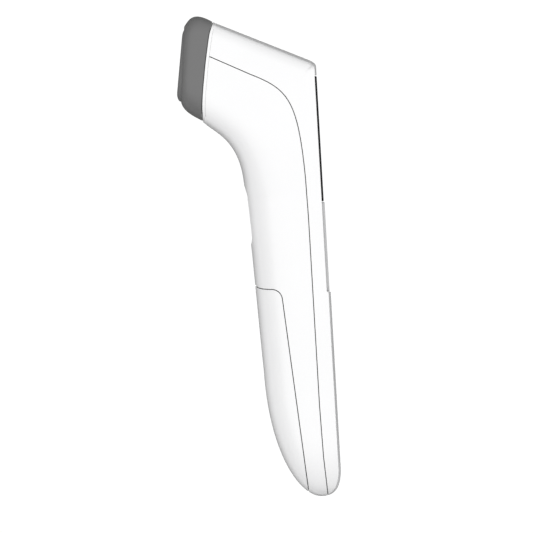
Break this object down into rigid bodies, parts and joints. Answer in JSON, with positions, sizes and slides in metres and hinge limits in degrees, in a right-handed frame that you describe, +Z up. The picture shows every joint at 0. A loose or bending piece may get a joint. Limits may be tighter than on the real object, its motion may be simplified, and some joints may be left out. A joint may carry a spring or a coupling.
{
  "type": "infrared thermometer",
  "caption": "Hand-held infrared forehead thermometer with a rounded grip, angled sensor nose, display window, control keys and sliding battery door.",
  "frame": {"origin": "middle of the grip, 57 mm above the lower end of the tail, 12 mm in front of the flat back", "axes": "+Z up along the grip to the head, +X out of the back face with the display, -X the way the sensor nose looks, Y = 0 the mirror plane"},
  "size_m": [0.0459, 0.042, 0.1568],
  "materials": {
    "white_shell": "fine satin moulded white",
    "grey_nose": "satin mid grey",
    "lens_black": "polished black acrylic",
    "panel_grey": "satin light grey",
    "key_grey": "satin light grey",
    "button_white": "satin white",
    "inner_white": "plain white, hidden inside",
    "black_plastic": "moulded black",
    "seal_rubber": "soft black silicone",
    "lcd_glass": "polarised liquid-crystal glass",
    "guide_acrylic": "clear acrylic light guide",
    "horn_chrome": "mirror-bright plated cone",
    "plated_steel": "nickel-plated",
    "brass": "turned brass",
    "filter_glass": "dark infrared filter",
    "board_green": "green solder mask",
    "ribbon_amber": "amber film",
    "cell_jacket": "printed jacket, plain",
    "lead_red": "red insulation",
    "lead_black": "black insulation"
  },
  "bodies": {
    "handset": {"backlight_guide": "guide_acrylic", "board_screw_left": "plated_steel", "board_screw_right": "plated_steel", "bridge_contact": "plated_steel", "bridge_spring": "plated_steel", "buzzer": "black_plastic", "cell_left": "cell_jacket", "cell_right": "cell_jacket", "collar_ring": "white_shell", "contact_strip": "seal_rubber", "control_panel": "panel_grey", "controller_chip": "black_plastic", "display_gasket": "seal_rubber", "display_lens": "lens_black", "face_plate": "grey_nose", "front_housing": "white_shell", "holder_screw_left": "plated_steel", "holder_screw_right": "plated_steel", "housing_screw_lower": "plated_steel", "housing_screw_upper": "plated_steel", "infrared_filter": "filter_glass", "lcd_frame": "inner_white", "lcd_glass": "lcd_glass", "lead_negative": "lead_black", "lead_positive": "lead_red", "main_board": "board_green", "memory_switch": "black_plastic", "mode_switch": "black_plastic", "negative_contact": "plated_steel", "negative_spring": "plated_steel", "nose_ring": "grey_nose", "positive_contact": "plated_steel", "rear_housing": "white_shell", "ribbon_connector": "inner_white", "sensor_barrel": "brass", "sensor_board": "board_green", "sensor_gasket": "seal_rubber", "sensor_holder": "black_plastic", "sensor_horn": "horn_chrome", "sensor_ribbon": "ribbon_amber", "sound_switch": "black_plastic", "thermopile": "plated_steel", "trigger_switch": "black_plastic"},
    "measuring_button": {"measure_button": "button_white"},
    "trigger_stem": {"trigger_plunger": "key_grey"},
    "mode_key": {"mode_button": "key_grey"},
    "mode_stem": {"mode_plunger": "key_grey"},
    "memory_key": {"memory_button": "key_grey"},
    "memory_stem": {"memory_plunger": "key_grey"},
    "sound_key": {"sound_button": "key_grey"},
    "sound_stem": {"sound_plunger": "key_grey"},
    "door": {"battery_door": "white_shell"}
  },
  "joints": [
    {"name": "measure_press", "type": "slide", "parent": "handset", "child": "measuring_button", "axis": [1, 0, 0], "range_m": [0, 0.0008], "stiffness_N_per_m": 500},
    {"name": "trigger_press", "type": "slide", "parent": "handset", "child": "trigger_stem", "axis": [1, 0, 0], "range_m": [0, 0.0008]},
    {"name": "mode_press", "type": "slide", "parent": "handset", "child": "mode_key", "axis": [-1, 0, 0], "range_m": [0, 0.0005], "stiffness_N_per_m": 400},
    {"name": "mode_stem_press", "type": "slide", "parent": "handset", "child": "mode_stem", "axis": [-1, 0, 0], "range_m": [0, 0.0005]},
    {"name": "memory_press", "type": "slide", "parent": "handset", "child": "memory_key", "axis": [-1, 0, 0], "range_m": [0, 0.0005], "stiffness_N_per_m": 400},
    {"name": "memory_stem_press", "type": "slide", "parent": "handset", "child": "memory_stem", "axis": [-1, 0, 0], "range_m": [0, 0.0005]},
    {"name": "sound_press", "type": "slide", "parent": "handset", "child": "sound_key", "axis": [-1, 0, 0], "range_m": [0, 0.0005], "stiffness_N_per_m": 400},
    {"name": "sound_stem_press", "type": "slide", "parent": "handset", "child": "sound_stem", "axis": [-1, 0, 0], "range_m": [0, 0.0005]},
    {"name": "door_slide", "type": "slide", "parent": "handset", "child": "door", "axis": [0.0793, 0, -0.9968], "range_m": [0, 0.012]}
  ],
  "couplings": [
    {"joint": "trigger_press", "follows": "measure_press", "ratio": 1},
    {"joint": "mode_stem_press", "follows": "mode_press", "ratio": 1},
    {"joint": "memory_stem_press", "follows": "memory_press", "ratio": 1},
    {"joint": "sound_stem_press", "follows": "sound_press", "ratio": 1}
  ]
}
